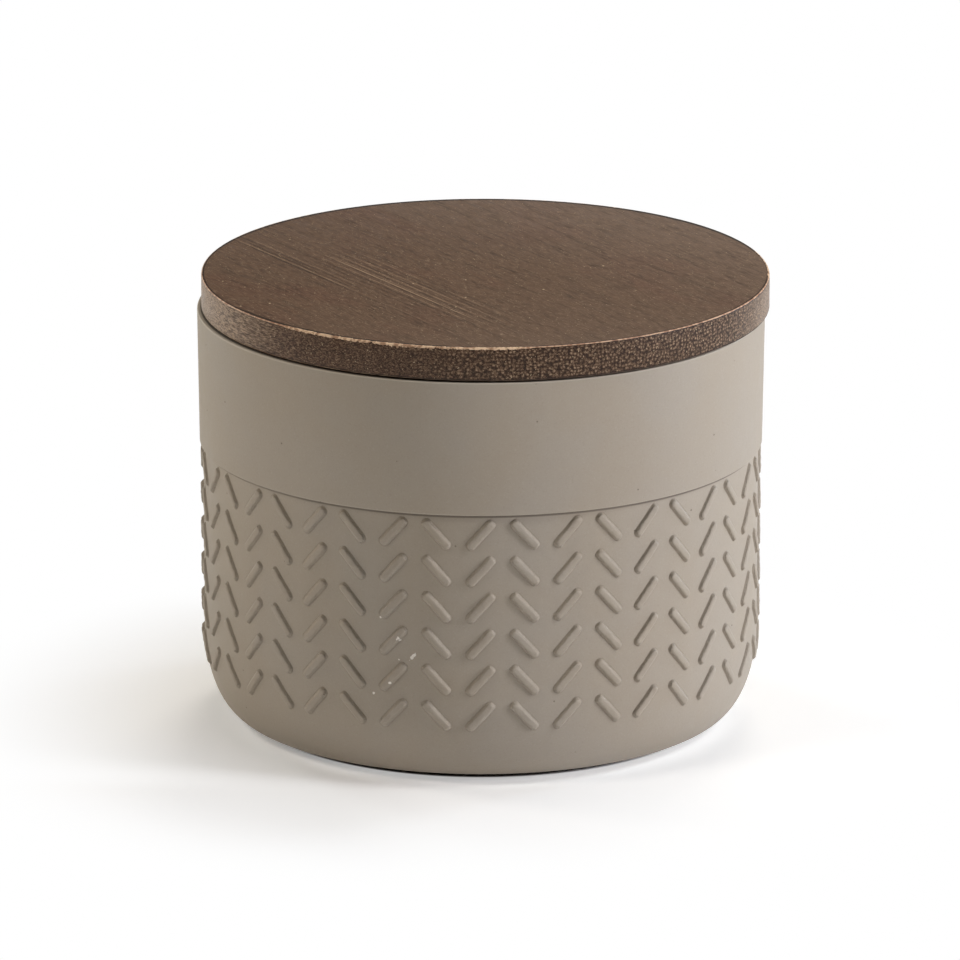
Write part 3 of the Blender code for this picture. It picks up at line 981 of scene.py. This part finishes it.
def arris_masks(s):
    """Bare wood along the board's arrises, dark stain beside it with painted shade along the back arris, and
    how golden the wood is, each 0 to 1.
    """
    radius = (board_high.y - board_low.y) / 2
    corner, low_corner = [(2 - math.sqrt(2)) * arris for arris in (LID_ARRIS_ROUND, LID_LOWER_ROUND)]
    z, flat = place_on_board(s)
    bearing = s.vector_math("NORMALIZE", flat)
    outwards = s.minus(s.length(flat), radius)
    upper = s.plus(s.plus(outwards, s.minus(z, board_high.z)), corner)
    lower = s.plus(s.plus(outwards, s.minus(board_low.z, z)), low_corner)
    rubbed = 0
    for degrees, spread in RUBBED_ARRIS:
        near = math.cos(math.radians(spread))
        rubbed = s.plus(rubbed, s.step(towards(s, bearing, degrees), near, (1 + near) / 2))
    rough = s.minus(s.noise(s.place, *WEAR_NOISE), 0.5)
    wobble = s.times_plus(rubbed, RUBBED_WOBBLE, BARE_WOBBLE)
    reach = s.times_plus(rough, wobble, BARE_REACH)
    reach = s.times_plus(rubbed, RUBBED_REACH, reach)
    above = s.step(s.plus(upper, reach), -WEAR_EDGE, WEAR_EDGE)
    below = s.step(s.plus(lower, BARE_LOWER_REACH), -WEAR_EDGE, WEAR_EDGE)
    below = s.times(below, s.step(towards(s, bearing, BARE_LOWER_BEARING), *BARE_LOWER_RAMP))
    # Painted shade: the stain is widened along the back arris
    at_back = s.step(s.dot(bearing, (0, 1, 0)), *STAIN_BACK_SHADE_RAMP)
    at_left = s.step(towards(s, bearing, STAIN_LEFT_BEARING), *STAIN_LEFT_RAMP)
    widened_stain_and_shade = s.times(s.on_flat, s.math("MAXIMUM", at_back, at_left))
    edge = s.times_plus(widened_stain_and_shade, STAIN_FLAT_REACH, s.math("MAXIMUM", upper, lower))
    stain = s.step(edge, -STAIN_REACH, -STAIN_REACH / 2)
    return s.math("MAXIMUM", above, below), stain, rubbed


def dark_lines(s):
    """1 at long thin lines along the grain, which break off in places, 0 elsewhere."""
    level = s.minus(s.noise(s.stretched(LINE_STRETCH), *LINE_NOISE), 0.5)
    lines = s.step(s.math("ABSOLUTE", level), *LINE_RAMP)
    return s.times(lines, s.step(s.noise(s.fibres_at, *LINE_PATCH_NOISE), *LINE_PATCH_RAMP))


def seam_mask(s, seams, reach, half_length):
    """How plainly lines along the seams between strips show; they fade with the reach from their middle."""
    total = 0
    for middle, half_width, strength in seams:
        distance = s.math("ABSOLUTE", s.minus(s.straight, middle * MM))
        line = s.step(distance, half_width * MM / 3, half_width * MM, strength, 0)
        total = s.plus(total, line)
    total = s.times(total, s.step(s.threads, *SEAM_THREAD_RAMP))
    return s.times(total, s.step(reach, half_length / 2, half_length, 1, SEAM_END_STRENGTH))


def mark_mask(s):
    """1 at the small pale marks of the board's face, 0 elsewhere."""
    total = 0
    for x, y, half_width in MARKS:
        distance = s.vector_math("DISTANCE", s.place, (x * MM, y * MM, board_high.z), "Value")
        mark = s.step(distance, half_width * MM / 2, half_width * MM, 1, 0)
        total = s.plus(total, mark)
    return s.times(total, s.on_flat)


def plain_wood(s):
    """Colour of the stained wood: red patches, a painted sheen towards the back right, fibres, bleached side
    grain and grime.
    """
    colour = s.mix(s.step(s.broad, *RED_RAMP), s.wood, s.red)
    # Painted sheen: the board's face grows paler towards the back right
    painted_sheen = s.times(s.step(s.dot(s.place, SHEEN_SIDE), *SHEEN_RAMP), s.on_flat)
    colour = s.mix(painted_sheen, colour, BAMBOO_SHEEN)
    colour = s.mix(s.times(s.on_side, END_WOOD_STRENGTH), colour, s.end_wood)
    calm = s.times_plus(s.on_flat, -FLAT_CALM, 1)
    for level, ramp in ((s.fibres, FIBRE_RAMP), (s.threads, THREAD_RAMP)):
        colour = s.mix(s.times(s.step(level, *ramp), calm), colour, s.dark)
    colour = s.mix(s.step(s.fibres, *PALE_FIBRE_RAMP), colour, s.pale)
    colour = s.mix(s.step(s.coarse, *COARSE_RAMP), colour, s.dark)
    colour = s.mix(s.times(dark_lines(s), LINE_STRENGTH), colour, s.dark)
    light_side = s.times(s.side_face, s.step(s.threads, *BLEACHED_THREAD_RAMP))
    light_side = s.times(light_side, s.step(s.fibres, *BLEACHED_FIBRE_RAMP))
    colour = s.mix(light_side, colour, s.bleached)
    grime = s.times(s.on_side, s.times_plus(s.side_face, -GRIME_SIDE_LOSS, GRIME_STRENGTH))
    colour = s.mix(s.times(grime, s.step(s.crumbs, *GRIME_RAMP)), colour, s.dark)
    return s.mix(s.times(s.on_side, s.step(s.crumbs, *CRUMB_RAMP)), colour, s.pale)


def add_bundles(s, colour):
    """The colour with the bundles' pale dots and the dark gaps between them, and the dots alone."""
    bundles_at = s.join(s.across, s.times_plus(s.wander, WANDER_UP, s.up), 0)
    distance, lots = s.flat_cells(bundles_at, BUNDLE_PITCH, BUNDLE_DISORDER)
    colour = s.mix(s.times(s.step(distance, *GAP_RAMP), s.end_face), colour, s.dark)
    size = s.minus(s.step(lots[0], *DOT_SIZE_RAMP), DOT_RAGGEDNESS / 2)
    size = s.times_plus(s.crumbs, DOT_RAGGEDNESS, size)
    dot = s.step(s.minus(distance, size), *DOT_EDGE_RAMP)
    dot = s.times(dot, s.step(lots[1], *DOT_STRENGTH_RAMP))
    share = s.math("MAXIMUM", s.end_face, s.times(s.on_side, OBLIQUE_BUNDLE_SHARE))
    share = s.times_plus(s.on_flat, FLAT_BUNDLE_SHARE, share)
    return s.mix(s.times(dot, share), colour, s.pale), dot


def add_seams(s, colour):
    """The colour with dark and pale lines along the seams between strips."""
    for dark_seams, pale_seams, middle, half_length in SEAM_GROUPS:
        reach = s.math("ABSOLUTE", s.minus(s.along, middle * MM))
        for seams, tone in ((dark_seams, s.dark), (pale_seams, s.pale)):
            seam = seam_mask(s, seams, reach, half_length * MM)
            colour = s.mix(s.times(seam, s.on_flat), colour, tone)
    return colour


def add_wear_and_painted_light(s, colour):
    """The colour with pale marks, painted sheen where the side turns away, dark stain widened by painted
    shade at the back, and bare arrises.
    """
    colour = s.mix(mark_mask(s), colour, BAMBOO_SPECK)
    # Painted sheen: the side grows paler where it turns away from the viewer
    turned_away = s.add("LayerWeight").outputs["Facing"]
    painted_light_share = s.times(s.on_side, s.step(turned_away, *LIMB_SHEEN_RAMP))
    painted_light_share = s.times(painted_light_share, s.step(s.crumbs, *LIMB_SHEEN_CRUMB_RAMP))
    colour = s.mix(painted_light_share, colour, s.bleached)
    bare, stain, rubbed = arris_masks(s)
    stain = s.times(stain, s.times_plus(s.side_face, -STAIN_SIDE_LOSS, 1))
    colour = s.mix(s.times(stain, STAIN_STRENGTH), colour, s.dark)
    bare_tone = s.mix(rubbed, BARE_PINK, BARE_GOLD)
    dull = s.step(s.noise(s.place, *DULL_NOISE), *DULL_RAMP)
    return s.mix(bare, colour, s.mix(dull, bare_tone, BARE_DEEP))


def make_bamboo(name, colours, worn_and_painted):
    """Stained bamboo, as a solid texture along the grain: bundles show as dots on the end grain and as
    streaks along it. colours are in the order that the constants give."""
    s = Bamboo(name, colours)
    colour, dot = add_bundles(s, plain_wood(s))
    colour = add_seams(s, colour)
    colour = s.mix(s.step(s.noise(s.place, *SPECK_NOISE), *SPECK_RAMP), colour, BAMBOO_SPECK)
    if worn_and_painted:
        colour = add_wear_and_painted_light(s, colour)
    relief = s.times_plus(s.fibres, FIBRE_RELIEF_SHARE, s.times(dot, FIBRE_RELIEF_SHARE))
    normal = s.bump(relief, *FIBRE_BUMP)
    normal = s.bump(s.broad, *BROAD_BUMP, normal)
    s.set(Base_Color=colour, Roughness=s.step(s.coarse, *BAMBOO_ROUGHNESS_RAMP), Normal=normal)
    s.set(Specular_IOR_Level=BAMBOO_SPECULAR)
    return s.material


# Room

def seen_rays(s):
    """1 for rays by which the paper is seen, straight on, in a gloss or through glass, 0 for the rest."""
    path = s.add("LightPath")
    total = path.outputs["Is Camera Ray"]
    for name in ("Is Glossy Ray", "Is Transmission Ray"):
        adder = s.add("Math", {0: total, 1: path.outputs[name]}, operation="ADD", use_clamp=True)
        total = adder.outputs[0]
    return total


def paper_shadow(s, x, y, radius):
    """1 where painted shadow darkens the paper at the jar's front left, 0 elsewhere."""
    in_front = s.step(s.times(y, -1), *SHADOW_FRONT)
    shadow = s.times(in_front, s.step(s.times(x, -1), *SHADOW_LEFT))
    return s.times(shadow, s.step(radius, *SHADOW_END, 1, 0))


def paper_glow(s, x, radius, shadow):
    """Strength of the paper's glow round the foot, painted light that lifts the shade there."""
    start, full, end = [FOOT_RADIUS + distance for distance in GLOW_DISTANCES]
    outside = s.step(x, 0, FOOT_RADIUS, GLOW_OUTSIDE, GLOW_OUTSIDE * GLOW_RIGHT_SHARE)
    near = s.step(x, *GLOW_LEFT, GLOW_NEAR_LEFT, GLOW_NEAR)
    strength = s.times(s.step(radius, start, full), s.step(radius, full, end, near, outside))
    beyond = s.step(radius, full, end, 0, SHADOW_GLOW_SHARE)
    return s.times(strength, s.minus(1, s.times(shadow, beyond)))


def make_paper():
    """White paper. It is seen white and keeps the jar's shadow; far from the jar it is seen plain white."""
    s = Surface("white_paper")
    s.tree.nodes.remove(s.shader)
    radius = s.length(s.vector_math("MULTIPLY", s.place, (1, 1, 0)))
    x, y, _ = s.parts(s.place)
    shadow = paper_shadow(s, x, y, radius)
    far = s.step(radius, *FLOOR_FADE)
    far = s.times(far, s.times_plus(shadow, -SHADOW_FAR_SHARE, 1))
    near_paper = s.add("BsdfDiffuse", {"Color": (*[FLOOR_SHOWN_SHARE] * 3, 1)}).outputs[0]
    glow = s.add("Emission", {"Strength": paper_glow(s, x, radius, shadow)}).outputs[0]
    near_paper = s.add("AddShader", {0: near_paper, 1: glow}).outputs[0]
    far_paper = s.add("Emission", {"Color": (1, 1, 1, 1)}).outputs[0]
    seen = s.add("MixShader", {0: far, 1: near_paper, 2: far_paper}).outputs[0]
    plain = s.add("BsdfDiffuse", {"Color": (*[FLOOR_SHARE] * 3, 1)}).outputs[0]
    result = s.add("MixShader", {0: seen_rays(s), 1: plain, 2: seen}).outputs[0]
    s.feed(s.tree.nodes["Material Output"].inputs["Surface"], result)
    return s.material


def make_floor():
    """A round sheet of paper under the jar, whose far edge curves up as a backdrop."""
    bm = bmesh.new()
    profile = [(0, 0), (BACKDROP_RADIUS - BACKDROP_HEIGHT, 0)]
    centre = (BACKDROP_RADIUS - BACKDROP_HEIGHT, BACKDROP_HEIGHT)
    profile += curve(centre, BACKDROP_HEIGHT, BACKDROP_HEIGHT, *LOWER_QUARTER)[1:]
    add_rings(bm, profile, BACKDROP_SEGMENTS)
    floor = smooth_object("floor", bm, make_paper())


def make_room():
    """The dim, even light of the room."""
    world = bpy.data.worlds.new("room")
    bpy.context.scene.world = world
    world.use_nodes = True
    room = world.node_tree.nodes["Background"]
    room.inputs["Color"].default_value = (*ROOM_COLOUR, 1)
    room.inputs["Strength"].default_value = ROOM_STRENGTH


def make_lamps():
    """Soft boxes round the jar, all turned to its middle."""
    for name, bearing, rise, width, power, colour in LAMPS:
        lamp = bpy.data.lights.new(name, "AREA")
        lamp.shape = "DISK"
        lamp.size = width
        lamp.energy = power
        lamp.color = colour
        flat = LAMP_DISTANCE * math.cos(math.radians(rise))
        height = LAMP_DISTANCE * math.sin(math.radians(rise))
        place = CAMERA_TARGET + round_point(flat, height, math.radians(bearing))
        holder = place_object(name, lamp)
        holder.location = place
        holder.rotation_euler = (CAMERA_TARGET - place).to_track_quat("-Z", "Y").to_euler()


def make_camera():
    """The camera in the viewer's place."""
    lens = bpy.data.cameras.new("camera")
    lens.lens = CAMERA_LENS
    lens.clip_start, lens.clip_end = CAMERA_CLIP
    camera = place_object("camera", lens)
    flat = CAMERA_DISTANCE * math.cos(CAMERA_ELEVATION)
    place = CAMERA_TARGET + Vector((0, -flat, CAMERA_DISTANCE * math.sin(CAMERA_ELEVATION)))
    turn = Matrix.Rotation(CAMERA_YAW, 4, "Z") @ Matrix.Rotation(math.pi / 2 - CAMERA_PITCH, 4, "X")
    camera.matrix_world = Matrix.Translation(place) @ turn @ Matrix.Rotation(CAMERA_ROLL, 4, "Z")
    bpy.context.scene.camera = camera


def main():
    """Build the pieces and the room."""
    bpy.context.scene.view_settings.view_transform = "Standard"
    make_jar(make_resin())
    make_pad(make_foam())
    make_board(make_bamboo("stained_bamboo", BOARD_COLOURS, True))
    make_plug(make_bamboo("plug_bamboo", PLUG_COLOURS, False))
    make_seal(make_silicone())
    make_floor()
    make_room()
    make_lamps()
    make_camera()


main()
